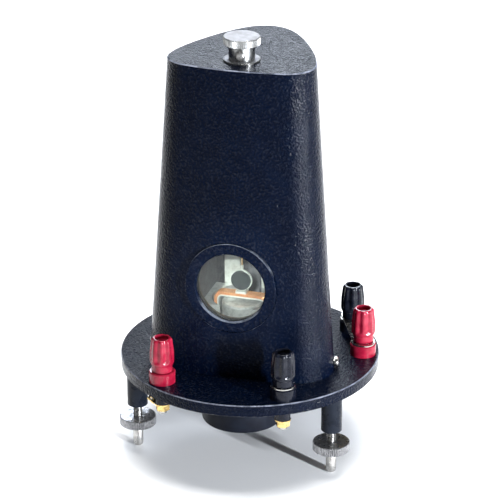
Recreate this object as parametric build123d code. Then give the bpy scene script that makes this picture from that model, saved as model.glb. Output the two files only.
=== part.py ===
from build123d import *
import math
import os

# Suspended-coil reflecting galvanometer on a three-screw levelling base. Millimetres, +Z up.
# The origin is on the floor under the centre of the base disc. The window faces -Y.

# ---- driving dimensions ----
RUN = 0.03  # radial clearance of a running fit

BASE_R = 85.0
BASE_BOTTOM = 54.0
BASE_TOP = 62.0
BASE_EDGE = 0.6

LEG_PITCH_R = 76.0
LEG_ANGLES = {"left": 210, "right": 330, "rear": 90}
LEG_R = 6.75
LEG_BOTTOM = 30.0
LEG_SPIGOT_R = 4.0
LEG_SPIGOT = 5.0

SCREW_R = 3.0  # M6 thread of the levelling screws and of the terminals
SHANK_R = 3.3
SCREW_TOP = 46.0
WHEEL_R = 12.0
WHEEL_BOTTOM = 16.0
WHEEL_TOP = 22.0
FOOT_FLAT_R = 1.4

AXIS_Y = -18.0  # the suspension hangs on the line x = 0, y = AXIS_Y

# Case: a tapered hood. These are its top section; lower sections are scaled about TAPER_Y.
CASE_TOP = 268.0
CASE_HALF_WIDTH = 47.8
CASE_FRONT_Y = -39.3
CASE_BACK_Y = 53.4
CASE_FRONT_R = 170.0
CASE_CORNER_R = 18.2
CASE_SIDE_R = 158.0
CASE_BACK_R = 21.2
CASE_FLARE = 1.29  # bottom section over top section
TAPER_Y = -14.5
CASE_WALL = 2.5
CASE_ROOF = 4.0
CASE_EDGE = 0.7

# Window: distances along its outward axis are counted from the wall's crown.
WINDOW_Z = 124.0
WINDOW_HOLE_R = 28.5
SPOT_R = 30.5
SPOT_DEPTH = 2.4
BOSS_R = 34.0
BOSS_DEPTH = 5.6
BEZEL_R = 30.0
BEZEL_PROUD = 0.5
SIGHT_R = 22.6
GLASS_R = 24.8
GLASS_FRONT = 1.6
GLASS_THICK = 2.0
RING_R = 32.0
RING_THICK = 1.6
RING_SCREW_PITCH_R = 26.7
RING_SCREW_REACH = 2.5

# Torsion head
HEAD_FLANGE_R = 11.75
HEAD_FLANGE = 1.1
NECK_R = 8.25
NECK_TOP = 278.3
SHANK_HEAD_R = 6.0
KNOB_R = 11.75
KNOB_BOTTOM = 278.5
KNOB_TOP = 283.6
SPINDLE_R = 3.0
SPINDLE_BOTTOM = 250.0
SET_SCREW_AZ = 10.0  # degrees to the right of the front
SET_SCREW_Z = 273.6

# Terminals
POST_PITCH_R = 74.5
POSTS = {  # direction of each post from the centre, degrees from +X
    "front_red": -122.6,
    "front_black": -57.4,
    "side_red": 10.3,
    "side_black": 39.5,
}
COLLAR_R = 8.5
COLLAR_H = 7.7
WASHER_R = 7.9
WASHER_H = 1.0
LINK_H = 0.8
CAP_FOOT_R = 6.7
CAP_FOOT_H = 4.4
CAP_WIDE_R = 7.8
CAP_NARROW_R = 6.9
CAP_MOUTH_R = 4.4
CAP_MOUTH = 3.0
INSERT_H = 15.0
INSERT_LIFT = 1.0  # from the cap's seat up to its insert
STUD_SINK = 6.5  # from the cap's top down to the stud's
CAP_H = 22.9
FLUTES = 8
FLUTE_R = 2.6
FLUTE_DEPTH = 0.8
FLUTE_START = 2.6  # from the top of the plain foot up to the flutes
SOCKET_R = 2.0
SOCKET_DEPTH = 14.0
STUD_STEM_R = 2.5
STUD_BOTTOM = 39.2
INSERT_R = 4.6
LOWER_BUSH_R = 5.0
LOWER_BUSH_H = 7.4
TAG_H = 0.8
TAG_RING_R = 5.3
TAG_W = 5.5
TAG_REACH = 5.6
TAG_BEND = 40.0
TAG_TURN = 182.0  # the front red tag's tongue points to the left
NUT_H = 4.0
NUT_FLATS = 8.0

LINK_HALF_WIDTH = 7.0
LINK_TAIL = 10.0
LINK_NOTCH = 7.4

# Magnet, coil and frame
MAGNET_IN = 23.0
MAGNET_OUT = 39.0
MAGNET_FRONT_Y = -35.0
MAGNET_Z = (80.0, 130.0)
POLE_TOP = 106.7
BORE_R = 19.6
CORE_R = 13.0
CORE_Z = (81.0, 104.5)
COIL_IN_X = 15.0
COIL_IN_Z = (78.5, 107.0)
FORMER_WALL = 1.0
WINDING = 2.2
COIL_THICK = 6.0
MIRROR_R = 6.6
MIRROR_THICK = 1.2
HOLDER_PLATE = 1.0  # thickness of the plate behind the mirror
HOLDER_STEM_R = 1.0
HOLDER_CLIP = (3.5, 3.4, 1.6)  # half width, half depth and height
MIRROR_Z = 119.5
UPRIGHT_X = 12.5
UPRIGHT_W = 10.6
UPRIGHT_Y = (2.0, 8.0)
HEAD_PLATE_X = (-22.0, 22.0)
HEAD_PLATE_Y = (-30.0, 10.0)
HEAD_PLATE_Z = (256.0, 264.0)
STAND_Z = (74.0, 80.0)
STAND_LEG_R = 4.5
STAND_LEGS = ((32.0, -27.0), (26.0, 20.0))  # on the right; the left pair is mirrored
BRACKET_Z = (89.0, 97.0)
BRACKET_HALF_WIDTH = 18.0
BRACKET_THICK = 3.0
BRACKET_STEM = 3.5  # half width of the stem that holds the core
CORE_FLAT = 1.0  # depth of the flat that the stem seats on
CORE_SCREW_REACH = 12.0

CUP_R = 26.5
CUP_BORE_R = 20.5
CUP_BOTTOM = 21.0
CUP_FLOOR = 4.0
CUP_SPIGOT_R = 22.8
CUP_SPIGOT = 3.0
BASE_HOLE_R = 18.0

# Spiral and contact under the coil
CONTACT_FOOT_R = 7.0
CONTACT_FOOT_H = 4.0
CONTACT_R = 2.5
CONTACT_H = 14.0
SPIRAL_R = 3.0
SPIRAL_WIRE_R = 0.3
SPIRAL_PITCH = 4.0

# Fasteners
M2_R = 1.0
M3_R = 1.5
M4_R = 2.0
CASE_SCREW_AZ = 15.0  # degrees forward or back of straight sideways
CASE_SCREW_Z = 66.2
CASE_SCREW_OUT = 0.3  # from the wall to the underside of the head
CASE_SCREW_LENGTH = 9.0
LUG_OUT = -3.9  # the lug's outer face, from the wall's outside
LUG_LENGTH = 12.0
LUG_W = 11.0
LUG_HOLE = 5.5
LUG_SCREW_INSET = 3.5
HEAD_SINK = 2.6  # depth of the counterbores under the base
SINK_R = 3.2
FRAME_SCREW_REACH = 5.5


# ---- small helpers ----
def rod(x, y, z_low, z_high, radius):
    """A vertical cylinder."""
    return Pos(x, y, (z_low + z_high) / 2) * Cylinder(radius, z_high - z_low)


def block(x_span, y_span, z_span):
    """A box from its three (low, high) spans."""
    spans = (x_span, y_span, z_span)
    middle = [sum(s) / 2 for s in spans]
    return Pos(*middle) * Box(*[s[1] - s[0] for s in spans])


def polar(radius, degrees):
    angle = math.radians(degrees)
    return radius * math.cos(angle), radius * math.sin(angle)


def turned(x, y, profile):
    """A solid of revolution about a vertical axis, from (radius, z) points."""
    face = make_face(Polyline(*profile, close=True))
    return Pos(x, y, 0) * revolve(Plane.XZ * face, Axis.Z)


def knurl(x, y, z_low, z_high, radius, count, depth):
    """A ring of thin V grooves, to cut from a wheel's rim."""
    grooves = Part()
    side = depth * math.sqrt(2)
    for i in range(count):
        px, py = polar(radius, 360 * i / count)
        groove = Rot(0, 0, 360 * i / count + 45) * Box(side, side, z_high - z_low + 2)
        grooves += Pos(x + px, y + py, (z_low + z_high) / 2) * groove
    return grooves


def fastener(length, radius, head_r, head_h, slot=0.8):
    """A slotted pan head screw. Its head's underside is at z = 0 and its shank runs down."""
    shank = Pos(0, 0, -length / 2) * Cylinder(radius, length)
    head = Pos(0, 0, head_h / 2) * Cylinder(head_r, head_h)
    head = fillet(head.edges().group_by(Axis.Z)[-1], head_h * 0.45)
    cut = Pos(0, 0, head_h) * Box(head_r * 2.2, slot, head_h * 0.8)
    return shank + head - cut


def save(name, shape):
    shape.label = name
    export_step(shape, f"parts/{name}.step")


# ---- base and levelling ----
def leg_place(side):
    return polar(LEG_PITCH_R, LEG_ANGLES[side])


def base_plate():
    plate = rod(0, 0, BASE_BOTTOM, BASE_TOP, BASE_R)
    plate = chamfer(plate.edges(), BASE_EDGE)
    plate -= rod(0, AXIS_Y, BASE_BOTTOM, BASE_TOP, BASE_HOLE_R)
    plate -= rod(0, AXIS_Y, BASE_BOTTOM, BASE_BOTTOM + CUP_SPIGOT, CUP_SPIGOT_R)
    for side in LEG_ANGLES:
        x, y = leg_place(side)
        plate -= rod(x, y, BASE_BOTTOM, BASE_BOTTOM + LEG_SPIGOT, LEG_SPIGOT_R)
    for post in POSTS:
        x, y = polar(POST_PITCH_R, POSTS[post])
        plate -= rod(x, y, BASE_BOTTOM, BASE_TOP, LEG_SPIGOT_R)
    for x, y in frame_screw_places():
        plate -= rod(x, y, BASE_BOTTOM, BASE_TOP, M3_R)
        plate -= rod(x, y, BASE_BOTTOM, BASE_BOTTOM + HEAD_SINK, SINK_R)
    return plate


def legs():
    """Three tapped pillars with a spigot into the base."""
    out = []
    for side in LEG_ANGLES:
        x, y = leg_place(side)
        leg = rod(x, y, LEG_BOTTOM, BASE_BOTTOM, LEG_R)
        leg = chamfer(leg.edges().group_by(Axis.Z)[0], 0.5)
        leg += rod(x, y, BASE_BOTTOM, BASE_BOTTOM + LEG_SPIGOT, LEG_SPIGOT_R)
        out.append(leg - rod(x, y, LEG_BOTTOM, BASE_BOTTOM - 0.5, SCREW_R + RUN))
    return Compound(children=out)


def levelling_spindle(side):
    x, y = leg_place(side)
    profile = [
        (0, 0),
        (FOOT_FLAT_R, 0),
        (SHANK_R - 0.7, 0.6),
        (SHANK_R, 2.0),
        (SHANK_R, WHEEL_BOTTOM - 0.05),
        (SCREW_R, WHEEL_BOTTOM - 0.05),
        (SCREW_R, SCREW_TOP - 0.8),
        (SCREW_R - 0.8, SCREW_TOP),
        (0, SCREW_TOP),
    ]
    return turned(x, y, profile)


def thumbwheel(side):
    x, y = leg_place(side)
    wheel = rod(x, y, WHEEL_BOTTOM, WHEEL_TOP, WHEEL_R)
    wheel = chamfer(wheel.edges(), 0.5)
    wheel -= knurl(x, y, WHEEL_BOTTOM, WHEEL_TOP, WHEEL_R, 60, 0.45)
    return wheel - rod(x, y, WHEEL_BOTTOM, WHEEL_TOP, SCREW_R + RUN)


def lower_cup():
    cup = rod(0, AXIS_Y, CUP_BOTTOM, BASE_BOTTOM, CUP_R)
    cup = fillet(cup.edges().group_by(Axis.Z)[0], 1.5)
    cup += rod(0, AXIS_Y, BASE_BOTTOM, BASE_BOTTOM + CUP_SPIGOT, CUP_SPIGOT_R)
    return cup - rod(0, AXIS_Y, CUP_BOTTOM + CUP_FLOOR, BASE_BOTTOM + CUP_SPIGOT, CUP_BORE_R)


# ---- case ----
def case_scale(z):
    return 1 + (CASE_FLARE - 1) * (CASE_TOP - z) / (CASE_TOP - BASE_TOP)


def scaled_y(y, scale):
    return TAPER_Y + (y - TAPER_Y) * scale


def mirrored(point):
    return -point[0], point[1]


def bearing(start, end):
    """The direction from start to end, in degrees from +X."""
    return math.degrees(math.atan2(end.Y - start.Y, end.X - start.X))


def on_circle(middle, radius, degrees):
    x, y = polar(radius, degrees)
    return middle.X + x, middle.Y + y


def case_section(z, inset=0.0):
    """Plan of the case at a height: a bowed front, round corners, bowed sides, a round back."""
    scale = case_scale(z)
    half = CASE_HALF_WIDTH * scale - inset
    front = scaled_y(CASE_FRONT_Y, scale) + inset
    back = scaled_y(CASE_BACK_Y, scale) - inset
    big = CASE_FRONT_R * scale - inset
    corner = CASE_CORNER_R * scale - inset
    round_back = CASE_BACK_R * scale - inset
    flank = CASE_SIDE_R * scale - inset
    bow = Vector(0, front + big)
    reach = half - corner
    drop = math.sqrt((big - corner) ** 2 - reach**2)
    corner_mid = Vector(reach, bow.Y - drop)
    back_mid = Vector(0, back - round_back)
    # The side's arc touches the corner's arc and the back's arc from outside.
    span = back_mid - corner_mid
    ahead = span.normalized()
    along = ((flank - corner) ** 2 - (flank - round_back) ** 2 + span.length**2) / (2 * span.length)
    across = math.sqrt((flank - corner) ** 2 - along**2)
    flank_mid = corner_mid + ahead * along + Vector(-ahead.Y, ahead.X) * across
    front_angle = math.degrees(math.atan2(-drop, reach))
    side_angle = bearing(flank_mid, corner_mid)
    back_angle = bearing(flank_mid, back_mid)
    front_end = on_circle(corner_mid, corner, front_angle)
    bend = on_circle(corner_mid, corner, (front_angle + side_angle) / 2)
    side_a = on_circle(corner_mid, corner, side_angle)
    side_bow = on_circle(flank_mid, flank, (side_angle + back_angle) / 2)
    side_b = on_circle(back_mid, round_back, back_angle)
    outline = [
        ThreePointArc(mirrored(front_end), (0, front), front_end),
        ThreePointArc(front_end, bend, side_a),
        ThreePointArc(side_a, side_bow, side_b),
        ThreePointArc(side_b, (0, back), mirrored(side_b)),
        ThreePointArc(mirrored(side_b), mirrored(side_bow), mirrored(side_a)),
        ThreePointArc(mirrored(side_a), mirrored(bend), mirrored(front_end)),
    ]
    return Pos(0, 0, z) * make_face(Wire(outline))


def case_body(z_low, z_high, inset=0.0):
    return loft([case_section(z_low, inset), case_section(z_high, inset)], ruled=True)


def window_plane():
    """At the crown of the front wall, facing out along the wall's normal."""
    low = scaled_y(CASE_FRONT_Y, CASE_FLARE)
    lean = (CASE_FRONT_Y - low) / (CASE_TOP - BASE_TOP)
    y = low + lean * (WINDOW_Z - BASE_TOP)
    return Plane((0, y, WINDOW_Z), x_dir=(1, 0, 0), z_dir=(0, -1, lean))


def window_disc(radius, near, far):
    """A disc on the window's axis between two distances along its outward normal."""
    return window_plane() * (Pos(0, 0, (near + far) / 2) * Cylinder(radius, far - near))


def case_screw_place(side):
    """Where a case screw enters the corner, its direction in plan, and the wall's corner radius."""
    scale = case_scale(CASE_SCREW_Z)
    corner = CASE_CORNER_R * scale
    reach = CASE_HALF_WIDTH * scale - corner
    big = CASE_FRONT_R * scale
    bow = scaled_y(CASE_FRONT_Y, scale) + big
    mid_y = bow - math.sqrt((big - corner) ** 2 - reach**2)
    dx, dy = polar(1, CASE_SCREW_AZ)
    return (side * (reach + corner * dx), mid_y + corner * dy), (side * dx, dy)


def case_screw_plane(side, out):
    (x, y), (dx, dy) = case_screw_place(side)
    return Plane((x + out * dx, y + out * dy, CASE_SCREW_Z), x_dir=(0, 0, 1), z_dir=(dx, dy, 0))


def case_shell():
    outer = case_body(BASE_TOP, CASE_TOP)
    outer = chamfer(outer.faces().sort_by(Axis.Z)[-1].edges(), CASE_EDGE)
    shell = outer - case_body(BASE_TOP, CASE_TOP - CASE_ROOF, CASE_WALL)
    shell += window_disc(BOSS_R, -BOSS_DEPTH, 0.0) & outer
    shell -= window_disc(SPOT_R, -SPOT_DEPTH, 4.0)
    shell -= window_disc(WINDOW_HOLE_R, -BOSS_DEPTH - 4.0, 4.0)
    shell -= rod(0, AXIS_Y, CASE_TOP - CASE_ROOF, CASE_TOP, SHANK_HEAD_R)
    for side in (-1, 1):
        shell -= case_screw_plane(side, -4.0) * Cylinder(M4_R, 12.0)
    return shell


def case_screws():
    screw = fastener(CASE_SCREW_LENGTH, M4_R, 2 * M4_R, 2.6, 1.0)
    return Compound(children=[case_screw_plane(side, CASE_SCREW_OUT) * screw for side in (-1, 1)])


def case_lugs():
    """Tapped blocks on the base, inside the case, that take the case screws."""
    out = []
    height = 2 * (CASE_SCREW_Z - BASE_TOP)
    for side in (-1, 1):
        lug = case_screw_plane(side, LUG_OUT - LUG_LENGTH / 2) * Box(height, LUG_W, LUG_LENGTH)
        lug -= case_screw_plane(side, LUG_OUT) * Cylinder(M4_R, 2 * LUG_HOLE)
        x, y = lug_screw_place(side)
        out.append(lug - rod(x, y, BASE_TOP, BASE_TOP + FRAME_SCREW_REACH, M3_R))
    return Compound(children=out)


def lug_screw_place(side):
    origin = case_screw_plane(side, LUG_OUT - LUG_LENGTH + LUG_SCREW_INSET).origin
    return origin.X, origin.Y


# ---- window ----
def window_bezel():
    flange = window_disc(BEZEL_R, -SPOT_DEPTH, BEZEL_PROUD)
    flange = chamfer(flange.edges().sort_by(Axis.Y)[0], 0.4)
    bezel = flange + window_disc(WINDOW_HOLE_R - 0.1, -BOSS_DEPTH, -SPOT_DEPTH)
    bezel -= window_disc(SIGHT_R, -BOSS_DEPTH, BEZEL_PROUD)
    bezel -= window_plane() * (Pos(0, 0, BEZEL_PROUD - 0.5) * Cone(SIGHT_R, SIGHT_R + 1.0, 1.0))
    bezel -= window_disc(GLASS_R, -BOSS_DEPTH, -GLASS_FRONT)
    for x, y in ring_screw_places():
        bezel -= window_plane() * (Pos(x, y, -BOSS_DEPTH) * Cylinder(M2_R, 2 * RING_SCREW_REACH))
    return bezel


def window_glass():
    return window_disc(GLASS_R, -GLASS_FRONT - GLASS_THICK, -GLASS_FRONT)


def window_gasket():
    ring = window_disc(GLASS_R, -BOSS_DEPTH, -GLASS_FRONT - GLASS_THICK)
    return ring - window_disc(SIGHT_R, -BOSS_DEPTH, -GLASS_FRONT)


def ring_screw_places():
    return [polar(RING_SCREW_PITCH_R, 45 + 90 * i) for i in range(4)]


def window_clamp_ring():
    ring = window_disc(RING_R, -BOSS_DEPTH - RING_THICK, -BOSS_DEPTH)
    ring -= window_disc(SIGHT_R, -BOSS_DEPTH - RING_THICK, -BOSS_DEPTH)
    for x, y in ring_screw_places():
        ring -= window_plane() * (Pos(x, y, -BOSS_DEPTH) * Cylinder(M2_R, 2 * RING_THICK))
    return ring


def clamp_ring_screws():
    screw = Rot(180, 0, 0) * fastener(RING_THICK + RING_SCREW_REACH, M2_R, 1.8, 1.1, 0.4)
    level = -BOSS_DEPTH - RING_THICK
    return Compound(
        children=[window_plane() * (Pos(x, y, level) * screw) for x, y in ring_screw_places()]
    )


# ---- torsion head ----
def set_screw_plane(out):
    dx, dy = polar(1, -90 + SET_SCREW_AZ)
    return Plane((out * dx, AXIS_Y + out * dy, SET_SCREW_Z), x_dir=(0, 0, 1), z_dir=(dx, dy, 0))


def torsion_bush():
    bush = rod(0, AXIS_Y, CASE_TOP, CASE_TOP + HEAD_FLANGE, HEAD_FLANGE_R)
    bush = chamfer(bush.edges().group_by(Axis.Z)[-1], 0.3)
    bush += rod(0, AXIS_Y, CASE_TOP + HEAD_FLANGE, NECK_TOP, NECK_R)
    bush += rod(0, AXIS_Y, HEAD_PLATE_Z[0], CASE_TOP, SHANK_HEAD_R)
    bush -= rod(0, AXIS_Y, HEAD_PLATE_Z[0], NECK_TOP, SPINDLE_R + RUN)
    return bush - set_screw_plane(NECK_R / 2 + 2) * Cylinder(M3_R + RUN, NECK_R)


def torsion_spindle():
    spindle = rod(0, AXIS_Y, SPINDLE_BOTTOM, KNOB_TOP - 1.0, SPINDLE_R)
    spindle = chamfer(spindle.edges().group_by(Axis.Z)[0], 0.6)
    slit = block((-0.6, 0.6), (AXIS_Y - 4, AXIS_Y + 4), (SPINDLE_BOTTOM - 1, SPINDLE_BOTTOM + 4))
    return spindle - slit


def torsion_knob():
    knob = rod(0, AXIS_Y, KNOB_BOTTOM, KNOB_TOP, KNOB_R)
    knob = chamfer(knob.edges(), 0.6)
    knob -= knurl(0, AXIS_Y, KNOB_BOTTOM, KNOB_TOP, KNOB_R, 60, 0.4)
    return knob - rod(0, AXIS_Y, KNOB_BOTTOM, KNOB_TOP - 1.0, SPINDLE_R)


def torsion_set_screw():
    reach = NECK_R + 0.15 - (SPINDLE_R + RUN + 0.1)
    return set_screw_plane(NECK_R + 0.15) * fastener(reach, M3_R, 3.0, 2.8, 0.8)


# ---- terminals ----
def post_place(post):
    return polar(POST_PITCH_R, POSTS[post])


def seat_height(post):
    """The height that a cap screws down to. Only the front red post has no washer."""
    if post == "front_red":
        return BASE_TOP + COLLAR_H
    seat = BASE_TOP + COLLAR_H + WASHER_H
    return seat + LINK_H + 0.1 if post.startswith("side") else seat  # the link is under the side pair


def terminal_collar(post):
    x, y = post_place(post)
    top = BASE_TOP + COLLAR_H
    collar = rod(x, y, BASE_TOP, top, COLLAR_R)
    collar = chamfer(collar.edges().group_by(Axis.Z)[-1], 0.6)
    collar += rod(x, y, BASE_TOP - 4.0, BASE_TOP, LEG_SPIGOT_R)
    return collar - rod(x, y, BASE_TOP - 4.0, top, STUD_STEM_R)


def terminal_stud(post):
    """A thin stem through the base, and an M6 post above the collar with a 4 mm socket."""
    x, y = post_place(post)
    low = BASE_TOP + COLLAR_H
    high = seat_height(post) + CAP_H - STUD_SINK
    stud = rod(x, y, STUD_BOTTOM, low, STUD_STEM_R)
    stud = chamfer(stud.edges().group_by(Axis.Z)[0], 0.5)
    stud += rod(x, y, low, high, SCREW_R)
    stud -= rod(x, y, high - SOCKET_DEPTH, high, SOCKET_R)
    return stud


def cap_insert(post):
    """The threaded brass tube that is moulded into a cap."""
    x, y = post_place(post)
    low = seat_height(post) + INSERT_LIFT
    high = low + INSERT_H
    return rod(x, y, low, high, INSERT_R) - rod(x, y, low, high, SCREW_R + RUN)


def cap_profile(low):
    """Half section of a cap's outside: a plain foot, a flared skirt and a round shoulder."""
    high = low + CAP_H
    foot = low + CAP_FOOT_H
    flare = foot + 3.2
    shoulder = high - 2.2
    with BuildLine() as line:
        Polyline((0, low), (CAP_FOOT_R - 0.3, low), (CAP_FOOT_R, low + 0.3), (CAP_FOOT_R, foot))
        ThreePointArc((CAP_FOOT_R, foot), (CAP_WIDE_R - 0.35, foot + 1.0), (CAP_WIDE_R, flare))
        bow = (CAP_WIDE_R + CAP_NARROW_R) / 2 + 0.15
        ThreePointArc((CAP_WIDE_R, flare), (bow, (flare + shoulder) / 2), (CAP_NARROW_R, shoulder))
        edge = CAP_MOUTH_R + 0.9
        ThreePointArc((CAP_NARROW_R, shoulder), (CAP_NARROW_R - 0.5, high - 0.6), (edge, high))
        Polyline((edge, high), (0, high), (0, low))
    return make_face(line.line)


def terminal_cap(post):
    """A fluted plastic cap with a mouth for the plug and a bore for its insert."""
    x, y = post_place(post)
    low = seat_height(post) + 0.05
    high = low + CAP_H
    insert_top = seat_height(post) + INSERT_LIFT + INSERT_H
    cap = revolve(Plane.XZ * cap_profile(low), Axis.Z)
    slope = math.degrees(math.atan((CAP_WIDE_R - CAP_NARROW_R) / (CAP_H - CAP_FOOT_H)))
    start = Pos(CAP_WIDE_R - FLUTE_DEPTH + FLUTE_R, 0, low + CAP_FOOT_H + FLUTE_START)
    cutter = start * Rot(0, -slope, 0) * Pos(0, 0, CAP_H / 2) * Cylinder(FLUTE_R, CAP_H)
    for i in range(FLUTES):
        cap -= Rot(0, 0, 360 / FLUTES * i) * cutter
    cap -= rod(0, 0, low, high, SCREW_R + 0.35)
    cap -= rod(0, 0, low, insert_top + RUN, INSERT_R + RUN)
    cap -= rod(0, 0, high - CAP_MOUTH, high, CAP_MOUTH_R)
    return Pos(x, y, 0) * cap


def terminal_washers():
    out = []
    for post in POSTS:
        if post == "front_red":
            continue
        x, y = post_place(post)
        low = BASE_TOP + COLLAR_H
        ring = rod(x, y, low, low + WASHER_H, WASHER_R)
        ring = chamfer(ring.edges(), 0.2)
        out.append(ring - rod(x, y, low, low + WASHER_H, SCREW_R))
    return Compound(children=out)


def lower_bushes():
    out = []
    for post in POSTS:
        x, y = post_place(post)
        bush = rod(x, y, BASE_BOTTOM - LOWER_BUSH_H, BASE_BOTTOM, LOWER_BUSH_R)
        bush += rod(x, y, BASE_BOTTOM, BASE_BOTTOM + 3.5, LEG_SPIGOT_R)
        low = BASE_BOTTOM - LOWER_BUSH_H
        out.append(bush - rod(x, y, low, BASE_BOTTOM + 3.5, STUD_STEM_R))
    return Compound(children=out)


def solder_tags():
    """A ring tag under each post, with a tongue bent up for the wire."""
    out = []
    high = BASE_BOTTOM - LOWER_BUSH_H
    for post in POSTS:
        x, y = post_place(post)
        tongue = Pos(TAG_REACH / 2, 0, 0) * Box(TAG_REACH, TAG_W, TAG_H)
        tongue -= Pos(TAG_REACH - 2.2, 0, 0) * Cylinder(1.0, 2 * TAG_H)
        bent = Pos(TAG_RING_R - 0.2, 0, 0) * Rot(0, -TAG_BEND, 0) * tongue
        tag = Cylinder(TAG_RING_R, TAG_H) + bent
        tag -= Cylinder(STUD_STEM_R, 2 * TAG_H)
        turn = TAG_TURN if post == "front_red" else POSTS[post] + 180
        out.append(Pos(x, y, high - TAG_H / 2) * Rot(0, 0, turn) * tag)
    return Compound(children=out)


def terminal_nuts():
    out = []
    high = BASE_BOTTOM - LOWER_BUSH_H - TAG_H
    for post in POSTS:
        x, y = post_place(post)
        outline = RegularPolygon(NUT_FLATS / 2, 6, major_radius=False)
        nut = Pos(x, y, high - NUT_H) * extrude(outline, NUT_H)
        out.append(nut - rod(x, y, high - NUT_H, high, STUD_STEM_R))
    return Compound(children=out)


def shorting_link():
    """A strip pivoted on the side black post, with a side notch that hooks round the side red post."""
    x, y = post_place("side_black")
    ax, ay = post_place("side_red")
    length = math.hypot(ax - x, ay - y)
    turn = math.degrees(math.atan2(ay - y, ax - x))
    tail = SlotOverall(length + 2 * LINK_TAIL, 2 * LINK_HALF_WIDTH)
    strip = extrude(Pos(length / 2, 0, 0) * tail, LINK_H)
    strip -= Cylinder(SCREW_R + 0.05, 4)
    strip -= Pos(length, 0, 0) * Cylinder(LINK_NOTCH / 2, 4)
    # The link swings outwards, so the notch opens on the side that faces the case.
    strip -= Pos(length, -LINK_HALF_WIDTH, 0) * Box(LINK_NOTCH, 2 * LINK_HALF_WIDTH, 4)
    strip = chamfer(strip.edges().group_by(Axis.Z)[-1], 0.2)
    low = BASE_TOP + COLLAR_H + WASHER_H + 0.05
    return Pos(x, y, low) * Rot(0, 0, turn) * strip


# ---- magnet, coil and frame ----
def magnet_plan(z_low, z_high):
    """The magnet's outer shape: straight sides, and a half circle at the back."""
    shape = rod(0, 0, z_low, z_high, MAGNET_OUT)
    shape -= block((-50, 50), (-50, 0), (z_low, z_high))
    return shape + block((-MAGNET_OUT, MAGNET_OUT), (MAGNET_FRONT_Y, 0), (z_low, z_high))


def magnet():
    """A U in plan, with its bend at the back."""
    shape = magnet_plan(*MAGNET_Z)
    shape -= rod(0, 0, *MAGNET_Z, MAGNET_IN)
    shape -= block((-MAGNET_IN, MAGNET_IN), (-50, 0), MAGNET_Z)
    return chamfer(shape.edges().filter_by(GeomType.LINE).filter_by(Axis.Y), 0.8)


def pole_piece(side):
    inner, outer = sorted((0.0, side * MAGNET_IN))
    pole = block((inner, outer), (MAGNET_FRONT_Y, 0), (MAGNET_Z[0], POLE_TOP))
    pole -= block((-2.0, 2.0), (MAGNET_FRONT_Y, 0), (MAGNET_Z[0], POLE_TOP))
    return pole - rod(0, AXIS_Y, MAGNET_Z[0], POLE_TOP, BORE_R)


def iron_core():
    core = rod(0, AXIS_Y, *CORE_Z, CORE_R)
    core = chamfer(core.edges(), 1.0)
    wide = BRACKET_STEM + 0.5
    core -= block((-wide, wide), (core_back(), AXIS_Y + CORE_R), CORE_Z)
    return core - core_screw_hole()


def core_back():
    """Where the bracket's stem meets the flat on the core."""
    return AXIS_Y + CORE_R - CORE_FLAT


def core_screw_hole():
    middle = (core_back() - CORE_SCREW_REACH + UPRIGHT_Y[1] + BRACKET_THICK) / 2
    length = UPRIGHT_Y[1] + BRACKET_THICK - core_back() + CORE_SCREW_REACH
    return Pos(0, middle, sum(CORE_Z) / 2) * Rot(90, 0, 0) * Cylinder(M3_R, length)


def core_bracket():
    """A brass T behind the coil: a bar across the uprights and a stem through the coil to the core."""
    back = UPRIGHT_Y[1]
    bar = block((-BRACKET_HALF_WIDTH, BRACKET_HALF_WIDTH), (back, back + BRACKET_THICK), BRACKET_Z)
    stem = block((-BRACKET_STEM, BRACKET_STEM), (core_back(), back), BRACKET_Z)
    return bar + stem - core_screw_hole()


def core_screw():
    back = UPRIGHT_Y[1] + BRACKET_THICK
    screw = fastener(back - core_back() + CORE_SCREW_REACH, M3_R, 2.8, 2.0, 0.7)
    return Pos(0, back, sum(CORE_Z) / 2) * Rot(-90, 0, 0) * screw


def magnet_stand():
    """An aluminium table under the magnet, on four legs, open in the middle for the coil."""
    low, high = STAND_Z
    table = magnet_plan(low, high) - rod(0, AXIS_Y, low, high, BORE_R)
    for x, _ in upright_places():
        half = UPRIGHT_W / 2
        table -= block((x - half, x + half), UPRIGHT_Y, (low, high))
    for x, y in stand_legs():
        table += rod(x, y, BASE_TOP, low, STAND_LEG_R)
        table -= rod(x, y, BASE_TOP, BASE_TOP + FRAME_SCREW_REACH, M3_R)
    return table


def stand_legs():
    return [(x * side, y) for x, y in STAND_LEGS for side in (-1, 1)]


def upright_places():
    return [(x, sum(UPRIGHT_Y) / 2) for x in (-UPRIGHT_X, UPRIGHT_X)]


def uprights():
    """Two flat bars that carry the head plate."""
    out = []
    half = UPRIGHT_W / 2
    for x, y in upright_places():
        bar = block((x - half, x + half), UPRIGHT_Y, (BASE_TOP, HEAD_PLATE_Z[0]))
        out.append(bar - rod(x, y, BASE_TOP, BASE_TOP + FRAME_SCREW_REACH, M3_R))
    return Compound(children=out)


def head_plate():
    low, high = HEAD_PLATE_Z
    plate = block(HEAD_PLATE_X, HEAD_PLATE_Y, (low, high))
    plate = fillet(plate.edges().filter_by(Axis.Z), 5.0)
    return plate - rod(0, AXIS_Y, low, high, SHANK_HEAD_R)


def frame_screw_places():
    return stand_legs() + upright_places() + [lug_screw_place(side) for side in (-1, 1)]


def frame_screws():
    """Screws up through the base into the stand, the uprights and the lugs."""
    length = BASE_TOP - BASE_BOTTOM - HEAD_SINK + FRAME_SCREW_REACH
    screw = Rot(180, 0, 0) * fastener(length, M3_R, 2.8, 2.0)
    level = BASE_BOTTOM + HEAD_SINK
    return Compound(children=[Pos(x, y, level) * screw for x, y in frame_screw_places()])


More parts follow.
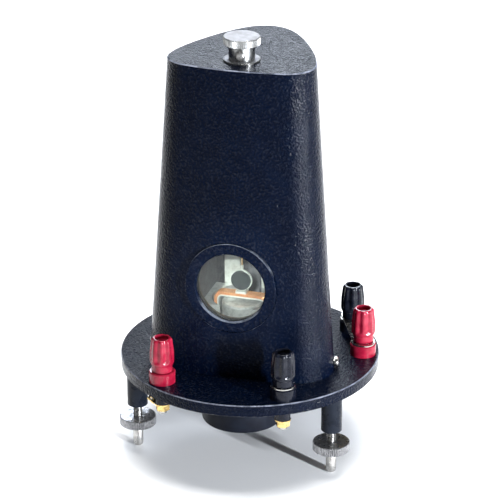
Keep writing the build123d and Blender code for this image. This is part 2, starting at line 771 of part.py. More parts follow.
def coil_ring(inner_grow, outer_grow):
    """A rectangular ring about the coil's axis, between two distances outside its inner opening."""
    z_mid = sum(COIL_IN_Z) / 2
    height = COIL_IN_Z[1] - COIL_IN_Z[0]

    def slab(grow, thick):
        outline = RectangleRounded(2 * (COIL_IN_X + grow), height + 2 * grow, 2.5 + grow)
        return Pos(0, AXIS_Y, z_mid) * extrude(Plane.XZ * outline, thick / 2, both=True)

    return slab(outer_grow, COIL_THICK) - slab(inner_grow, COIL_THICK + 2)


def coil_former():
    return coil_ring(0, FORMER_WALL)


def coil_winding():
    return coil_ring(FORMER_WALL, FORMER_WALL + WINDING)


def coil_top():
    return COIL_IN_Z[1] + FORMER_WALL + WINDING


def coil_bottom():
    return COIL_IN_Z[0] - FORMER_WALL - WINDING


def mirror_holder():
    """A stem clipped to the coil's top, with a round plate for the mirror and a hook for the strip."""
    wide, deep, high = HOLDER_CLIP
    top = coil_top() + high
    clip = block((-wide, wide), (AXIS_Y - deep, AXIS_Y + deep), (coil_top(), top))
    stem = rod(0, AXIS_Y, top, strip_bottom(), HOLDER_STEM_R)
    plate = Cylinder(MIRROR_R + 0.6, HOLDER_PLATE)
    plate = Pos(0, plate_front() + HOLDER_PLATE / 2, MIRROR_Z) * Rot(90, 0, 0) * plate
    return clip + stem + plate


def plate_front():
    """The front of the plate, which stands just ahead of the stem's axis."""
    return AXIS_Y - HOLDER_STEM_R - HOLDER_PLATE


def strip_bottom():
    """Where the upper strip is fixed to the holder's stem."""
    return MIRROR_Z + MIRROR_R + 3.0


def mirror():
    disc = Cylinder(MIRROR_R, MIRROR_THICK)
    disc = chamfer(disc.edges().group_by(Axis.Z)[-1], 0.2)
    return Pos(0, plate_front() - MIRROR_THICK / 2, MIRROR_Z) * Rot(90, 0, 0) * disc


def upper_suspension():
    span = (strip_bottom(), SPINDLE_BOTTOM - 0.2)
    return block((-0.4, 0.4), (AXIS_Y - 0.1, AXIS_Y + 0.1), span)


def lower_contact():
    """A brass post on the cup's floor that takes the current from the lower spiral."""
    floor = CUP_BOTTOM + CUP_FLOOR
    foot = rod(0, AXIS_Y, floor, floor + CONTACT_FOOT_H, CONTACT_FOOT_R)
    return foot + rod(0, AXIS_Y, floor + CONTACT_FOOT_H, floor + CONTACT_H, CONTACT_R)


def lower_suspension():
    """A slack spiral of fine wire from the coil down towards the lower contact."""
    low = CUP_BOTTOM + CUP_FLOOR + CONTACT_H + 1.3
    height = coil_bottom() - 4.7 - low
    helix = Pos(0, AXIS_Y, low) * Helix(pitch=SPIRAL_PITCH, height=height, radius=SPIRAL_R)
    section = Plane(helix @ 0, z_dir=helix % 0) * Circle(SPIRAL_WIRE_R)
    return sweep(section, helix)


def main():
    os.makedirs("parts", exist_ok=True)
    save("base_plate", base_plate())
    save("legs", legs())
    for side in LEG_ANGLES:
        save(f"levelling_spindle_{side}", levelling_spindle(side))
        save(f"thumbwheel_{side}", thumbwheel(side))
    save("lower_cup", lower_cup())
    save("case_shell", case_shell())
    save("case_screws", case_screws())
    save("case_lugs", case_lugs())
    save("window_bezel", window_bezel())
    save("window_glass", window_glass())
    save("window_gasket", window_gasket())
    save("window_clamp_ring", window_clamp_ring())
    save("clamp_ring_screws", clamp_ring_screws())
    save("torsion_bush", torsion_bush())
    save("torsion_spindle", torsion_spindle())
    save("torsion_knob", torsion_knob())
    save("torsion_set_screw", torsion_set_screw())
    for post in POSTS:
        save(f"terminal_collar_{post}", terminal_collar(post))
        save(f"terminal_stud_{post}", terminal_stud(post))
        save(f"cap_insert_{post}", cap_insert(post))
        save(f"terminal_cap_{post}", terminal_cap(post))
    save("terminal_washers", terminal_washers())
    save("lower_bushes", lower_bushes())
    save("solder_tags", solder_tags())
    save("terminal_nuts", terminal_nuts())
    save("shorting_link", shorting_link())
    save("magnet", magnet())
    save("pole_piece_left", pole_piece(-1))
    save("pole_piece_right", pole_piece(1))
    save("iron_core", iron_core())
    save("core_bracket", core_bracket())
    save("core_screw", core_screw())
    save("magnet_stand", magnet_stand())
    save("uprights", uprights())
    save("head_plate", head_plate())
    save("frame_screws", frame_screws())
    save("coil_former", coil_former())
    save("coil_winding", coil_winding())
    save("mirror_holder", mirror_holder())
    save("mirror", mirror())
    save("upper_suspension", upper_suspension())
    save("lower_contact", lower_contact())
    save("lower_suspension", lower_suspension())


main()
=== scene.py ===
import math

import bmesh
import bpy
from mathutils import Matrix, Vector


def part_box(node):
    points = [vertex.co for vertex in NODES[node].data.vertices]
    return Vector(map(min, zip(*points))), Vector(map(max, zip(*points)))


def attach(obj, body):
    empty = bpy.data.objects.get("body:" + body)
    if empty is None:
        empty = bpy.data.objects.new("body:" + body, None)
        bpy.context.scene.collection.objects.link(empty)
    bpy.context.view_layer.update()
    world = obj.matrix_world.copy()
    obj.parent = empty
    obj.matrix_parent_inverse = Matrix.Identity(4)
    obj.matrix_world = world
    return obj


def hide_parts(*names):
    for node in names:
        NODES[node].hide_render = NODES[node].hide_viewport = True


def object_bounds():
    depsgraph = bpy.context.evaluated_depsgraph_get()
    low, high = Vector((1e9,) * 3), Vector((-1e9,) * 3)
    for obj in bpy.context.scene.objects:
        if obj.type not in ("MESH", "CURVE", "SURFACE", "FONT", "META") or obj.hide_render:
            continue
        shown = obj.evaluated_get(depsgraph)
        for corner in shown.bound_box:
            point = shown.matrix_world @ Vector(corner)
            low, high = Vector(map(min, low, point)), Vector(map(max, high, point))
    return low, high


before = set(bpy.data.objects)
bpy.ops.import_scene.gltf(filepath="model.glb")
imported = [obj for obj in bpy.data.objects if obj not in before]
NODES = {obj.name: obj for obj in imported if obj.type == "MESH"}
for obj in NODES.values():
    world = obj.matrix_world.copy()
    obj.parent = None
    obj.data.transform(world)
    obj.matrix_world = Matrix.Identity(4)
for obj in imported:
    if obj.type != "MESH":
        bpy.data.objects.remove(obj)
CAD_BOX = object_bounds()
MM = 0.001

SIDES = ("left", "right", "rear")
POSTS = ("front_red", "front_black", "side_red", "side_black")
M6_R = 3.0 * MM
M6_PITCH = 1.0 * MM
M6_DEPTH = 0.55 * MM
ARC_STEPS = 8
ENAMEL_GLOSS = 0.075
# How much lighter the pimples' crests are painted: a painted highlight.
CREST_HIGHLIGHT_LIFT = 0.006

# The camera looks at AIM from a direction measured at PIVOT.
CAMERA_AZIMUTH = 16.4
CAMERA_ELEVATION = 22.71
CAMERA_DISTANCE = 1.588
CAMERA_LENS = 177.2
SENSOR_WIDTH = 36.0
PIVOT = Vector((0, 0, 0.150))
AIM = Vector((0, 0, 0.1322))


# ---- node helpers ----
class Surface:
    """A Principled material whose texture space is the object's own, in metres."""

    def __init__(self, name, roughness=0.5, metallic=0.0, specular=0.5):
        self.material = bpy.data.materials.new(name)
        self.material.use_nodes = True
        self.tree = self.material.node_tree
        self.shader = self.tree.nodes["Principled BSDF"]
        self.shader.inputs["Roughness"].default_value = roughness
        self.shader.inputs["Metallic"].default_value = metallic
        self.shader.inputs["Specular IOR Level"].default_value = specular
        self.coords = self.tree.nodes.new("ShaderNodeTexCoord").outputs["Object"]

    def node(self, kind, **settings):
        made = self.tree.nodes.new("ShaderNode" + kind)
        for key, value in settings.items():
            setattr(made, key, value)
        return made

    def link(self, source, target):
        self.tree.links.new(source, target)

    def stretched(self, scale):
        mapping = self.node("Mapping")
        mapping.inputs["Scale"].default_value = scale
        self.link(self.coords, mapping.inputs["Vector"])
        return mapping.outputs["Vector"]

    def noise(self, size_mm, detail=2.0, stretch=(1, 1, 1)):
        """Noise with blobs about size_mm across, thinner along the axes whose stretch is above 1."""
        made = self.node("TexNoise")
        made.inputs["Scale"].default_value = 1.0 / (size_mm * MM)
        made.inputs["Detail"].default_value = detail
        made.inputs["Roughness"].default_value = 0.5
        self.link(self.stretched(stretch), made.inputs["Vector"])
        return made.outputs["Fac"]

    def span(self, value, low, high, to_low=0.0, to_high=1.0):
        """value mapped from low..high to to_low..to_high, and held there."""
        made = self.node("MapRange", clamp=True, interpolation_type="SMOOTHSTEP")
        made.inputs["From Min"].default_value = low
        made.inputs["From Max"].default_value = high
        made.inputs["To Min"].default_value = to_low
        made.inputs["To Max"].default_value = to_high
        self.link(value, made.inputs["Value"])
        return made.outputs["Result"]

    def math(self, operation, first, second):
        made = self.node("Math", operation=operation)
        for socket, value in zip(made.inputs, (first, second)):
            if isinstance(value, (int, float)):
                socket.default_value = value
            else:
                self.link(value, socket)
        return made.outputs["Value"]

    def mix(self, factor, first, second):
        """A colour between first and second; each is an RGB triple or a colour output."""
        made = self.node("Mix", data_type="RGBA")
        self.link(factor, made.inputs["Factor"])
        for socket, value in ((made.inputs["A"], first), (made.inputs["B"], second)):
            if isinstance(value, tuple):
                socket.default_value = (*value, 1.0)
            else:
                self.link(value, socket)
        return made.outputs["Result"]

    def normal_z(self):
        """How far the surface leans upwards, without the bump: 1 on a top face, 0 on a wall."""
        geometry = self.node("NewGeometry")
        split = self.node("SeparateXYZ")
        self.link(geometry.outputs["Normal"], split.inputs["Vector"])
        return split.outputs["Z"]

    def color(self, value):
        self.link(value, self.shader.inputs["Base Color"])

    def roughness(self, value):
        self.link(value, self.shader.inputs["Roughness"])

    def bump(self, value, depth_mm):
        """Relief: value 0..1 is depth_mm deep. Later calls add to earlier ones."""
        made = self.node("Bump")
        made.inputs["Strength"].default_value = 1.0
        made.inputs["Distance"].default_value = depth_mm * MM
        self.link(value, made.inputs["Height"])
        socket = self.shader.inputs["Normal"]
        if socket.links:
            self.link(socket.links[0].from_socket, made.inputs["Normal"])
        self.link(made.outputs["Normal"], socket)


# ---- materials ----
def hammertone(name, dark, light, wear_and_glint, grain_mm, depth_mm):
    """Textured enamel: rounded pimples, cloudy colour, and lighter chamfers that lean upwards, partly paint
    thinned by wear and partly a painted glint.
    """
    paint = Surface(name, specular=ENAMEL_GLOSS)
    pimples = paint.noise(grain_mm, detail=1.5)
    crumbs = paint.noise(grain_mm / 3, detail=1.0)
    clouds = paint.noise(14.0, detail=4.0)
    body = paint.mix(paint.span(clouds, 0.35, 0.7), dark, light)
    # The pimples' crests are painted lighter than the hollows: a painted highlight.
    crest_highlight = tuple(channel + CREST_HIGHLIGHT_LIFT for channel in light)
    body = paint.mix(paint.span(pimples, 0.5, 0.72), body, crest_highlight)
    # Chamfers that lean upwards are lightened, partly as wear and partly as a painted glint where light
    # from above catches them.
    lean = paint.normal_z()
    chamfer = paint.math("MULTIPLY", paint.span(lean, 0.3, 0.55), paint.span(lean, 0.97, 0.85))
    rubbed_and_glint = paint.math("MULTIPLY", chamfer, paint.span(paint.noise(5.0, detail=5.0), 0.3, 0.7, 0.3))
    paint.color(paint.mix(rubbed_and_glint, body, wear_and_glint))
    paint.roughness(paint.span(clouds, 0.3, 0.7, 0.05, 0.10))
    paint.bump(pimples, depth_mm)
    paint.bump(crumbs, depth_mm * 0.2)
    return paint.material


def smooth_enamel(name, color, lighter, roughness=0.3):
    """Smooth dark paint: cloudy colour and gloss over a slight unevenness."""
    paint = Surface(name, specular=0.15)
    clouds = paint.noise(9.0, detail=4.0)
    paint.color(paint.mix(paint.span(clouds, 0.35, 0.7), color, lighter))
    paint.roughness(paint.span(clouds, 0.3, 0.7, roughness - 0.06, roughness + 0.08))
    paint.bump(paint.noise(1.1, detail=3.0), 0.05)
    return paint.material


def plated(name, bright, dull, roughness=0.2, stretch=(1, 1, 1), metallic=1.0):
    """Plated or turned metal: cloudy tarnish, and fine scratches across the axis of most stretch."""
    metal = Surface(name, metallic=metallic)
    tarnish = metal.noise(3.0, detail=5.0)
    scratches = metal.noise(0.5, detail=3.0, stretch=stretch)
    metal.color(metal.mix(metal.span(tarnish, 0.4, 0.75), bright, dull))
    metal.roughness(metal.span(tarnish, 0.3, 0.75, roughness - 0.06, roughness + 0.12))
    metal.bump(scratches, 0.012)
    return metal.material


def turned_knob(name, bright, dull, face):
    """Polished nickel on the walls, and a rougher turned finish on the top faces, with a darker colour
    there that is painted shade.
    """
    face_roughness = 0.35
    metal = Surface(name, metallic=1.0)
    tarnish = metal.noise(3.0, detail=5.0)
    polish = metal.mix(metal.span(tarnish, 0.4, 0.75), bright, dull)
    top = metal.span(metal.normal_z(), 0.8, 0.95)
    # The top faces take the darker face colour: painted shade.
    metal.color(metal.mix(top, polish, face))
    walls = metal.span(tarnish, 0.3, 0.75, 0.2, 0.4)
    metal.roughness(metal.math("ADD", walls, metal.math("MULTIPLY", top, face_roughness)))
    metal.bump(metal.noise(0.5, detail=3.0), 0.012)
    return metal.material


def cast(name, dark, light):
    """Rough cast iron with a sandy skin."""
    iron = Surface(name, metallic=0.6)
    patches = iron.noise(4.0, detail=6.0)
    iron.color(iron.mix(iron.span(patches, 0.35, 0.7), dark, light))
    iron.roughness(iron.span(patches, 0.3, 0.7, 0.5, 0.75))
    iron.bump(iron.noise(0.8, detail=6.0), 0.18)
    return iron.material


def moulded(name, color, lighter, roughness=0.16, specular=0.35):
    """Glossy moulded plastic: cloudy colour and gloss, a faint ripple and a fine grain."""
    plastic = Surface(name, specular=specular)
    clouds = plastic.noise(5.0, detail=3.0)
    plastic.color(plastic.mix(plastic.span(clouds, 0.35, 0.7), color, lighter))
    plastic.roughness(plastic.span(clouds, 0.3, 0.75, roughness - 0.04, roughness + 0.12))
    plastic.bump(plastic.noise(2.2, detail=1.0), 0.03)
    plastic.bump(plastic.noise(0.3, detail=2.0), 0.004)
    return plastic.material


def wound_wire():
    """Enamelled copper wire: fine streaks that follow the wires round the coil, whose axis is Y."""
    wire = Surface("enamelled_wire", roughness=0.25, metallic=0.6)
    tone = wire.noise(0.6, detail=3.0, stretch=(0.2, 6.0, 0.2))
    wire.color(wire.mix(wire.span(tone, 0.3, 0.7), (0.62, 0.25, 0.10), (0.95, 0.52, 0.26)))
    wire.bump(wire.noise(0.25, detail=1.0, stretch=(0.05, 1.0, 0.05)), 0.02)
    return wire.material


def clear_glass():
    """A thin flat pane with a little dust on it: see-through, with a reflection at a slant."""
    pane = Surface("window_pane")
    clear = pane.node("BsdfTransparent")
    dust = pane.noise(6.0, detail=4.0)
    tint = pane.mix(pane.span(dust, 0.4, 0.8), (0.94, 0.97, 0.96), (0.88, 0.91, 0.90))
    pane.link(tint, clear.inputs["Color"])
    shine = pane.node("BsdfGlossy")
    shine.inputs["Roughness"].default_value = 0.02
    slant = pane.node("Fresnel")
    slant.inputs["IOR"].default_value = 1.45
    join = pane.node("MixShader")
    pane.link(slant.outputs["Fac"], join.inputs["Fac"])
    pane.link(clear.outputs["BSDF"], join.inputs[1])
    pane.link(shine.outputs["BSDF"], join.inputs[2])
    output = pane.tree.nodes["Material Output"]
    pane.link(join.outputs["Shader"], output.inputs["Surface"])
    return pane.material


def mirror_painted_dark():
    """An old small mirror, its colour painted dark as a painted reflection of the dark inside of the case.
    """
    glass = Surface("silvered_glass", roughness=0.12, metallic=1.0)
    spots = glass.noise(1.5, detail=4.0)
    # The dark colour is a painted reflection of the dark inside of the case.
    glass.color(glass.mix(glass.span(spots, 0.6, 0.8), (0.06, 0.07, 0.07), (0.03, 0.04, 0.04)))
    glass.bump(glass.noise(3.0, detail=1.0), 0.01)
    return glass.material


def soft_rubber():
    """Dull black rubber with a fine grain."""
    rubber = Surface("soft_rubber", roughness=0.7, specular=0.3)
    rubber.color(rubber.mix(rubber.noise(2.0, detail=4.0), (0.012, 0.012, 0.013), (0.03, 0.03, 0.03)))
    rubber.bump(rubber.noise(0.4, detail=2.0), 0.02)
    return rubber.material


NAVY = (0.0003, 0.0018, 0.0075)
NAVY_LIGHT = (0.0006, 0.0027, 0.0100)
# The last colour given lightens the upward chamfers, as wear and as a painted glint.
CASE = hammertone("case_hammertone", NAVY, NAVY_LIGHT, (0.26, 0.28, 0.34), grain_mm=1.4, depth_mm=0.68)
BASE = hammertone("base_hammertone", NAVY, NAVY_LIGHT, (0.17, 0.18, 0.22), grain_mm=1.4, depth_mm=0.7)
BEZEL = hammertone("bezel_hammertone", NAVY, NAVY_LIGHT, (0.08, 0.09, 0.11), grain_mm=1.5, depth_mm=0.9)
LEG_PAINT = smooth_enamel("leg_enamel", (0.003, 0.005, 0.010), (0.007, 0.010, 0.017))
CUP_PAINT = smooth_enamel("cup_enamel", (0.002, 0.003, 0.007), (0.004, 0.006, 0.012), 0.4)
NICKEL = plated("dull_nickel", (0.50, 0.49, 0.46), (0.28, 0.26, 0.23), 0.22)
BRIGHT_NICKEL = plated("bright_nickel", (0.34, 0.34, 0.35), (0.15, 0.15, 0.15), 0.3)
# The last colour is the top faces' darker colour: painted shade.
KNOB_NICKEL = turned_knob("knob_nickel", (0.52, 0.52, 0.51), (0.30, 0.30, 0.29), (0.30, 0.30, 0.31))
STEEL = plated("turned_steel", (0.56, 0.55, 0.53), (0.34, 0.32, 0.30), 0.3, (1, 1, 8))
SOFT_IRON = plated("machined_iron", (0.62, 0.62, 0.60), (0.42, 0.42, 0.41), 0.34, (6, 1, 6), 0.7)
ALUMINIUM = plated("machined_aluminium", (0.86, 0.86, 0.80), (0.66, 0.66, 0.60), 0.34, (8, 8, 1), 0.6)
DARK_BRASS = plated("blackened_brass", (0.16, 0.14, 0.10), (0.07, 0.06, 0.05), 0.4)
BRASS = plated("machined_brass", (0.86, 0.62, 0.25), (0.55, 0.36, 0.12), 0.24, (6, 1, 1))
BRONZE = plated("bronze_strip", (0.78, 0.50, 0.26), (0.50, 0.30, 0.14), 0.25, (1, 1, 0.2))
MAGNET = cast("cast_magnet", (0.055, 0.055, 0.062), (0.15, 0.15, 0.16))
RED = moulded("red_plastic", (0.20, 0.004, 0.018), (0.30, 0.012, 0.034))
BLACK = moulded("black_plastic", (0.003, 0.004, 0.008), (0.007, 0.008, 0.013), 0.12, 0.22)
WIRE = wound_wire()
PANE = clear_glass()
MIRROR_PAINTED_DARK = mirror_painted_dark()
RUBBER = soft_rubber()

NODE_MATERIALS = {
    "base_plate": BASE,
    "case_shell": CASE,
    "window_bezel": BEZEL,
    "legs": LEG_PAINT,
    "lower_cup": CUP_PAINT,
    "case_screws": NICKEL,
    "case_lugs": STEEL,
    "window_glass": PANE,
    "window_gasket": RUBBER,
    "window_clamp_ring": DARK_BRASS,
    "clamp_ring_screws": STEEL,
    "torsion_bush": KNOB_NICKEL,
    "torsion_knob": KNOB_NICKEL,
    "torsion_spindle": BRASS,
    "torsion_set_screw": STEEL,
    "terminal_washers": NICKEL,
    "lower_bushes": BLACK,
    "solder_tags": BRASS,
    "terminal_nuts": BRASS,
    "shorting_link": NICKEL,
    "magnet": MAGNET,
    "pole_piece_left": SOFT_IRON,
    "pole_piece_right": SOFT_IRON,
    "iron_core": SOFT_IRON,
    "core_bracket": BRASS,
    "core_screw": STEEL,
    "magnet_stand": ALUMINIUM,
    "uprights": ALUMINIUM,
    "head_plate": ALUMINIUM,
    "frame_screws": STEEL,
    "coil_former": ALUMINIUM,
    "coil_winding": WIRE,
    "mirror_holder": ALUMINIUM,
    "mirror": MIRROR_PAINTED_DARK,
    "upper_suspension": BRONZE,
    "lower_contact": BRASS,
    "lower_suspension": BRONZE,
}
for side in SIDES:
    NODE_MATERIALS["levelling_spindle_" + side] = STEEL
    NODE_MATERIALS["thumbwheel_" + side] = BRIGHT_NICKEL
for post in POSTS:
    plastic = RED if post.endswith("red") else BLACK
    NODE_MATERIALS["terminal_collar_" + post] = plastic
    NODE_MATERIALS["terminal_cap_" + post] = plastic
    NODE_MATERIALS["terminal_stud_" + post] = NICKEL
    NODE_MATERIALS["cap_insert_" + post] = BRASS


def dress_nodes():
    """Give every CAD node its material."""
    for name, material in NODE_MATERIALS.items():
        mesh = NODES[name].data
        mesh.materials.clear()
        mesh.materials.append(material)


# ---- detail pieces ----
def join_rings(mesh, low, high):
    """Faces between two rings of vertices; a ring of one vertex is a point on the axis."""
    count = max(len(low), len(high))
    for i in range(count):
        j = (i + 1) % count
        if len(low) == 1:
            mesh.faces.new((low[0], high[j], high[i]))
        elif len(high) == 1:
            mesh.faces.new((low[i], low[j], high[0]))
        else:
            mesh.faces.new((low[i], low[j], high[j], high[i]))


def finish_piece(name, mesh, material, place, body, node, sharp=35):
    """Turn a bmesh into an object that stands for a CAD node and rides on its body."""
    bmesh.ops.recalc_face_normals(mesh, faces=mesh.faces)
    data = bpy.data.meshes.new(name)
    mesh.to_mesh(data)
    mesh.free()
    data.shade_smooth()
    data.set_sharp_from_angle(angle=math.radians(sharp))
    data.materials.append(material)
    piece = bpy.data.objects.new(name, data)
    piece.location = place
    bpy.context.scene.collection.objects.link(piece)
    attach(piece, body)
    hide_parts(node)


def lathe(outline, steps, relief, closed=False):
    """A body turned about Z from (radius, z) points. relief gives the radius at (angle, radius, z)."""
    mesh = bmesh.new()
    rings = []
    for radius, z in outline:
        if radius == 0:
            rings.append([mesh.verts.new((0, 0, z))])
            continue
        ring = []
        for i in range(steps):
            angle = math.tau * i / steps
            r = relief(angle, radius, z)
            ring.append(mesh.verts.new((r * math.cos(angle), r * math.sin(angle), z)))
        rings.append(ring)
    for low, high in zip(rings, rings[1:]):
        join_rings(mesh, low, high)
    if closed:
        join_rings(mesh, rings[-1], rings[0])
    return mesh


def walk(points, step):
    """The same polyline with extra points, so that no run is longer than step."""
    out = [points[0]]
    for a, b in zip(points, points[1:]):
        count = max(1, math.ceil(math.dist(a, b) / step))
        for i in range(1, count + 1):
            share = i / count
            out.append((a[0] + (b[0] - a[0]) * share, a[1] + (b[1] - a[1]) * share))
    return out


def arc(middle, radii, start, end, count):
    """Points on an ellipse about middle, from the start angle to the end angle in degrees."""
    out = []
    for i in range(count + 1):
        angle = math.radians(start + (end - start) * i / count)
        out.append((middle[0] + radii[0] * math.cos(angle), middle[1] + radii[1] * math.sin(angle)))
    return out


def ease(value):
    """0 below 0, 1 above 1, and a smooth rise between them."""
    held = min(1.0, max(0.0, value))
    return held * held * (3 - 2 * held)


def centre_of(node):
    """The middle of a node's box in x and y."""
    low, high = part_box(node)
    return (low[0] + high[0]) / 2, (low[1] + high[1]) / 2


def levelling_spindle(side):
    """A steel screw with a domed tip and a plain shank under the wheel, and an M6 thread above it."""
    node = "levelling_spindle_" + side
    low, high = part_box(node)
    x, y = centre_of(node)
    shank = (high[0] - low[0]) / 2
    under_wheel = 0.05 * MM
    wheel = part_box("thumbwheel_" + side)[0][2] - low[2] - under_wheel
    top = high[2] - low[2]
    tip_flat = 1.4 * MM
    tip_height = 2.0 * MM
    shank_edge = (0.3 * MM, 0.4 * MM)
    top_chamfer = 0.8 * MM
    outline = [(0, 0)]
    outline += arc((tip_flat, tip_height), (shank - tip_flat, tip_height), -90, 0, ARC_STEPS)
    outline += [(shank, wheel - shank_edge[1]), (shank - shank_edge[0], wheel)]
    outline += walk([(M6_R, wheel), (M6_R, top - top_chamfer)], M6_PITCH / 8)
    outline += [(M6_R - top_chamfer, top), (0, top)]

    def thread(angle, radius, z):
        """Cut the helix where the outline is at the thread's full radius; the rest stays plain."""
        if radius != M6_R:
            return radius
        turn = (z / M6_PITCH - angle / math.tau) % 1.0
        return radius - M6_DEPTH * abs(2 * turn - 1)

    mesh = lathe(outline, steps=40, relief=thread)
    place = (x, y, low[2])
    finish_piece("screw_" + side, mesh, STEEL, place, "spindle_" + side, node, sharp=50)


def fluted_cap(post):
    """A moulded cap: a plain foot, eight rounded flutes up a flared skirt, and a mouth for a plug."""
    node = "terminal_cap_" + post
    low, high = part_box(node)
    x, y = centre_of(node)
    wide = (high[0] - low[0]) / 2
    top = high[2] - low[2]
    foot_r = 6.7 * MM
    foot_top = 4.4 * MM
    neck = 6.9 * MM
    mouth = 4.4 * MM
    mouth_floor = top - 3.0 * MM
    hole = 3.35 * MM
    bore = 4.63 * MM
    bore_top = 15.98 * MM
    chamfer = 0.3 * MM
    flare = foot_top + 3.2 * MM
    shoulder = top - 2.4 * MM
    top_round = 1.6 * MM
    belly = 0.35 * MM
    foot = [(bore, 0), (foot_r - chamfer, 0), (foot_r, chamfer), (foot_r, foot_top)]
    barrel = ((wide + neck) / 2 + belly, (flare + shoulder) / 2)
    skirt = arc((foot_r, flare), (wide - foot_r, flare - foot_top), -90, 0, ARC_STEPS)[1:]
    skirt += walk([(wide, flare), barrel, (neck, shoulder)], 0.5 * MM)[1:]
    skirt += arc((neck - top_round, shoulder), (top_round, top - shoulder), 0, 90, ARC_STEPS)[1:]
    inside = [(mouth + chamfer, top), (mouth, top - chamfer), (mouth, mouth_floor)]
    inside += [(hole, mouth_floor), (hole, bore_top), (bore, bore_top)]
    fluted = set(skirt)
    flutes = 8
    depth = 0.9 * MM
    turn = math.radians(16)
    narrowing = 1.1
    fade_in_from = flare - 1.2 * MM
    fade_in_run = 2.0 * MM
    fade_out_to = top + 0.6 * MM
    fade_out_run = 1.6 * MM

    def flute(angle, radius, z):
        """Cut the flutes into the skirt, fading out at its two ends; the foot and bore stay round."""
        if (radius, z) not in fluted:
            return radius
        wave = (0.5 - 0.5 * math.cos(flutes * (angle - turn))) ** narrowing
        start = ease((z - fade_in_from) / fade_in_run)
        return radius - depth * wave * start * ease((fade_out_to - z) / fade_out_run)

    red = post.endswith("red")
    mesh = lathe(foot + skirt + inside, steps=128, relief=flute, closed=True)
    material, slot = (RED, "red_plastic") if red else (BLACK, "black_plastic")
    finish_piece("fluted_cap_" + post, mesh, material, (x, y, low[2]), "cap_" + post, node)


def rounded_rectangle(half_x, half_z, radius, steps):
    """Points round a rectangle with round corners, each with its outward direction."""
    out = []
    for quarter, (sx, sz) in enumerate(((1, 1), (-1, 1), (-1, -1), (1, -1))):
        for i in range(steps + 1):
            angle = math.pi / 2 * (quarter + i / steps)
            dx, dz = math.cos(angle), math.sin(angle)
            out.append((sx * (half_x - radius) + radius * dx, sz * (half_z - radius) + radius * dz, dx, dz))
    return out


def rounds(count, pitch, radius, steps):
    """A row of round wires side by side: points as (how far along, how deep below the crests)."""
    out = []
    for i in range(count):
        for k in range(steps):
            phase = math.pi * (k + 0.5) / steps
            out.append((pitch * (i + 0.5 - 0.5 * math.cos(phase)), radius * (1 - math.sin(phase))))
    return out


def coil_turns():
    """The coil's winding, with the rounds of its wires standing out on its rim and its faces."""
    low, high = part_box("coil_winding")
    middle = [(a + b) / 2 for a, b in zip(low, high)]
    width = high[1] - low[1]
    thick = 2.2 * MM
    wire = 0.4 * MM
    corner = 5.7 * MM
    wire_steps = 6
    across = round(width / wire)
    layers = round(thick / wire)
    rim = rounds(across, width / across, wire / 2, wire_steps)
    face = rounds(layers, thick / layers, wire / 2, wire_steps)
    section = [(-dip, along - width / 2) for along, dip in rim]
    section += [(-along, width / 2 - dip) for along, dip in face]
    section += [(-along, dip - width / 2) for along, dip in reversed(face)]
    mesh = bmesh.new()
    path = rounded_rectangle((high[0] - low[0]) / 2, (high[2] - low[2]) / 2, corner, 10)
    rings = []
    for x, z, dx, dz in path:
        rings.append([mesh.verts.new((x + d * dx, y, z + d * dz)) for d, y in section])
    for a, b in zip(rings, rings[1:] + rings[:1]):
        join_rings(mesh, a, b)
    finish_piece("winding_turns", mesh, WIRE, middle, "coil", "coil_winding")


# ---- camera, light and floor ----
def direction(azimuth, elevation):
    """The way from the object to this azimuth and elevation, in degrees; azimuth 0 is the front."""
    a, e = math.radians(azimuth), math.radians(elevation)
    return Vector((math.sin(a) * math.cos(e), -math.cos(a) * math.cos(e), math.sin(e)))


def camera():
    """A long lens, a little above the object and to the right of its front."""
    data = bpy.data.cameras.new("camera")
    data.lens = CAMERA_LENS
    data.sensor_width = SENSOR_WIDTH
    data.dof.use_dof = False
    eye = bpy.data.objects.new("camera", data)
    eye.location = PIVOT + direction(CAMERA_AZIMUTH, CAMERA_ELEVATION) * CAMERA_DISTANCE
    eye.rotation_euler = (AIM - eye.location).to_track_quat("-Z", "Y").to_euler()
    bpy.context.scene.collection.objects.link(eye)
    bpy.context.scene.camera = eye


def hang(light, place, aim):
    """Put a light at place, facing aim."""
    lamp = bpy.data.objects.new(light.name, light)
    lamp.location = place
    lamp.rotation_euler = (Vector(aim) - Vector(place)).to_track_quat("-Z", "Y").to_euler()
    bpy.context.scene.collection.objects.link(lamp)


def panel(name, size, power):
    """A rectangular area light."""
    light = bpy.data.lights.new(name, "AREA")
    light.shape = "RECTANGLE"
    light.size, light.size_y = size
    light.energy = power
    return light


def softbox(name, azimuth, elevation, distance, size, power, color=(1.0, 1.0, 1.0)):
    """A panel that faces the middle of the object."""
    light = panel(name, size, power)
    light.color = color
    middle = (CAD_BOX[0] + CAD_BOX[1]) / 2
    hang(light, middle + direction(azimuth, elevation) * distance, middle)


def floor_lamp():
    """A beam from above and behind that lights the sheet round the object and back from it."""
    light = panel("floor_lamp", size=(1.5, 1.3), power=19)
    light.spread = math.radians(75)
    hang(light, place=(0, 0.5, 2.0), aim=(0, 0.5, 0))


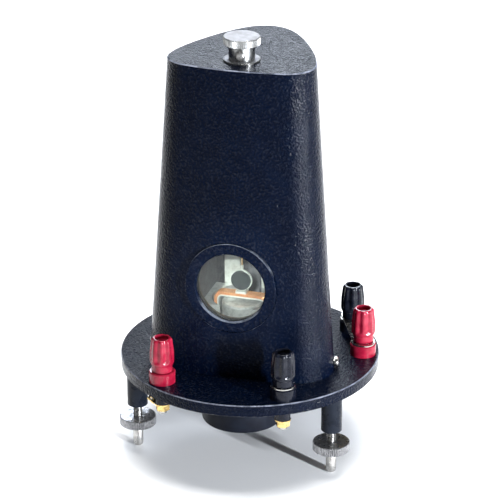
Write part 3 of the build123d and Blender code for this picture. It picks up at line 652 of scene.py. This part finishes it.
def window_lamp():
    """A small spot through the window, so that the coil and its iron can be seen."""
    light = bpy.data.lights.new("window_lamp", "SPOT")
    light.energy = 260
    light.spot_size = math.radians(2.5)
    light.spot_blend = 0.3
    light.shadow_soft_size = 0.03
    low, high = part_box("window_glass")
    window = Vector([(a + b) / 2 for a, b in zip(low, high)])
    distance = 1.2
    hang(light, window + direction(azimuth=12, elevation=27) * distance, window)


def lights():
    """A narrow key from the right, a weak fill, and a back light whose reflection whitens the top."""
    cool = (0.88, 0.93, 1.0)
    cooler = (0.80, 0.88, 1.0)
    softbox("key_light", azimuth=61, elevation=3, distance=1.3, size=(0.045, 0.34), power=48, color=cool)
    softbox("fill_light", azimuth=-60, elevation=30, distance=1.8, size=(0.5, 0.5), power=2)
    softbox("back_light", azimuth=196, elevation=28, distance=1.5, size=(0.5, 0.22), power=9, color=cooler)
    floor_lamp()
    window_lamp()


def surroundings():
    """Dim, slightly cool light from all round, shown without a film curve."""
    world = bpy.data.worlds.new("studio")
    world.use_nodes = True
    background = world.node_tree.nodes["Background"]
    background.inputs["Color"].default_value = (0.92, 0.95, 1.0, 1.0)
    background.inputs["Strength"].default_value = 0.10
    bpy.context.scene.world = world
    bpy.context.scene.view_settings.view_transform = "Standard"


def floor():
    """A pale sheet that curves up far behind the object."""
    mesh = bpy.data.meshes.new("floor")
    wide, front, back, rise, bend = 9.0, -12.0, 2.0, 3.0, 0.8
    section = [(front, 0.0)]
    steps = 16
    for i in range(steps + 1):
        angle = math.pi / 2 * i / steps
        section.append((back + bend * math.sin(angle), bend - bend * math.cos(angle)))
    section.append((back + bend, rise))
    points = [(x, y, z) for y, z in section for x in (-wide, wide)]
    faces = [(2 * i, 2 * i + 1, 2 * i + 3, 2 * i + 2) for i in range(len(section) - 1)]
    mesh.from_pydata(points, [], faces)
    mesh.shade_smooth()
    paper = Surface("pale_paper", roughness=0.9, specular=0.1)
    paper.color(paper.mix(paper.noise(40.0, detail=3.0), (0.90, 0.90, 0.90), (0.93, 0.93, 0.93)))
    mesh.materials.append(paper.material)
    sheet = bpy.data.objects.new("floor", mesh)
    bpy.context.scene.collection.objects.link(sheet)


dress_nodes()
for side in SIDES:
    levelling_spindle(side)
for post in POSTS:
    fluted_cap(post)
coil_turns()
camera()
surroundings()
lights()
floor()
